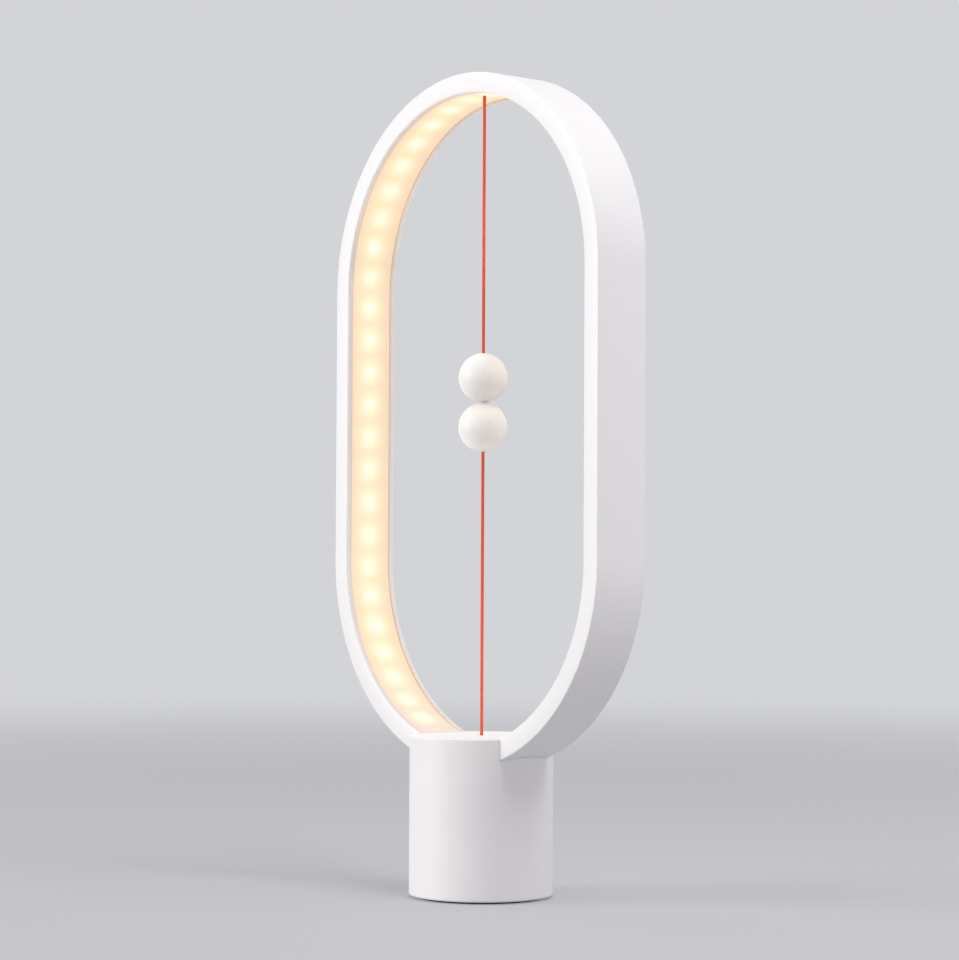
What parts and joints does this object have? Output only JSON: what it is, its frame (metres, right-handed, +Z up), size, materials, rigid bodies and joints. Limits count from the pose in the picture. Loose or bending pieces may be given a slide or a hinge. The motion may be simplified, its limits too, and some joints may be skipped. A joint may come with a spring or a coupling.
{
  "type": "magnetic balance lamp",
  "caption": "Desk lamp with an upright stadium-shaped light loop on a round base, switched by magnetic balls that hang on taut cords and hold each other across a small gap.",
  "frame": {"origin": "centre of the foot pad's underside, on the table", "axes": "+Z up, +X along the loop's width, -Y the front, +Y the rear with the power inlet"},
  "size_m": [0.2, 0.07, 0.4],
  "materials": {
    "white_abs": "fine satin, moulded",
    "frosted": "frosted, lit warm white",
    "ball_white": "matt lacquer",
    "red_cord": "woven",
    "magnet": "nickel plated",
    "steel": "zinc plated",
    "spring_steel": "bright",
    "iron": "blacked",
    "board_green": "solder mask",
    "strip_white": "white solder mask",
    "led_yellow": "phosphor",
    "black_plastic": "moulded",
    "button_red": "moulded",
    "can_aluminium": "drawn can",
    "brass": "tin plated brass",
    "wire_grey": "insulated wire",
    "pad_black": "foamed rubber"
  },
  "bodies": {
    "lamp": {"loop_front_shell": "white_abs", "loop_rear_cover": "white_abs", "diffuser": "frosted", "led_strip": "strip_white", "led_chips": "led_yellow", "loop_end_plugs": "white_abs", "upper_cord_anchor": "white_abs", "upper_cord_knot": "red_cord", "upper_cord_tail": "red_cord", "base_housing": "white_abs", "top_bridge": "white_abs", "cord_bush": "white_abs", "loop_cradle": "white_abs", "ballast_weight": "iron", "bottom_plate": "white_abs", "foot_pad": "pad_black", "control_board": "board_green", "driver_chip": "black_plastic", "power_inductor": "iron", "capacitors": "can_aluminium", "usb_inlet": "steel", "plunger_guide": "white_abs", "plunger_retainer": "white_abs", "switch_body": "black_plastic", "switch_terminals": "brass", "switch_bracket": "steel", "switch_screws": "steel", "led_wires": "wire_grey", "switch_wires": "wire_grey", "loop_screws": "steel", "cradle_screws": "steel", "bridge_screws": "steel", "bracket_screw": "steel", "guide_screws": "steel", "ballast_screws": "steel", "board_screws": "steel", "plate_screws": "steel", "return_spring": "spring_steel"},
    "upper_bend": {"upper_cord_bend": "red_cord"},
    "upper_ball": {"upper_cord": "red_cord", "upper_ball": "ball_white", "upper_ball_plug": "ball_white", "upper_magnet": "magnet", "upper_ball_knot": "red_cord"},
    "lower_bend": {"lower_cord_bend": "red_cord"},
    "lower_cord": {"lower_cord": "red_cord"},
    "lower_ball": {"lower_ball": "ball_white", "lower_ball_plug": "ball_white", "lower_magnet": "magnet", "lower_ball_knot": "red_cord"},
    "plunger": {"pull_plunger": "black_plastic", "cord_nipple": "red_cord", "lower_cord_tail": "red_cord"},
    "switch_lever": {"switch_lever": "steel"},
    "switch_button": {"switch_button": "button_red"}
  },
  "joints": [
    {"name": "upper_swing_fore_aft", "type": "hinge", "parent": "lamp", "child": "upper_bend", "pos_m": [0, 0, 0.3899], "axis": [1, 0, 0], "range_deg": [-60, 60]},
    {"name": "upper_swing_sideways", "type": "hinge", "parent": "upper_bend", "child": "upper_ball", "pos_m": [0, 0, 0.3899], "axis": [0, 1, 0], "range_deg": [-33, 33]},
    {"name": "lower_lean_fore_aft", "type": "hinge", "parent": "lamp", "child": "lower_bend", "pos_m": [0, 0, 0.0788], "axis": [1, 0, 0], "range_deg": [-30, 30]},
    {"name": "lower_lean_sideways", "type": "hinge", "parent": "lower_bend", "child": "lower_cord", "pos_m": [0, 0, 0.0788], "axis": [0, 1, 0], "range_deg": [-30, 30]},
    {"name": "lower_ball_drop", "type": "slide", "parent": "lower_cord", "child": "lower_ball", "axis": [0, 0, -1], "range_m": [0, 0.1332], "deforming": ["lower_cord"]},
    {"name": "plunger_travel", "type": "slide", "parent": "lamp", "child": "plunger", "axis": [0, 0, -1], "range_m": [0, 0.003], "deforming": ["return_spring"]},
    {"name": "lever_press", "type": "hinge", "parent": "lamp", "child": "switch_lever", "pos_m": [0, -0.014, 0.04971], "axis": [-1, 0, 0], "range_deg": [0, 12]},
    {"name": "button_press", "type": "slide", "parent": "lamp", "child": "switch_button", "axis": [0, 0, -1], "range_m": [0, 0.00072]}
  ],
  "couplings": [
    {"joint": "plunger_travel", "follows": "lower_ball_drop", "ratio": 0.022522},
    {"joint": "lever_press", "follows": "lower_ball_drop", "rad_per_m": 1.5724},
    {"joint": "button_press", "follows": "lower_ball_drop", "ratio": 0.00533}
  ]
}
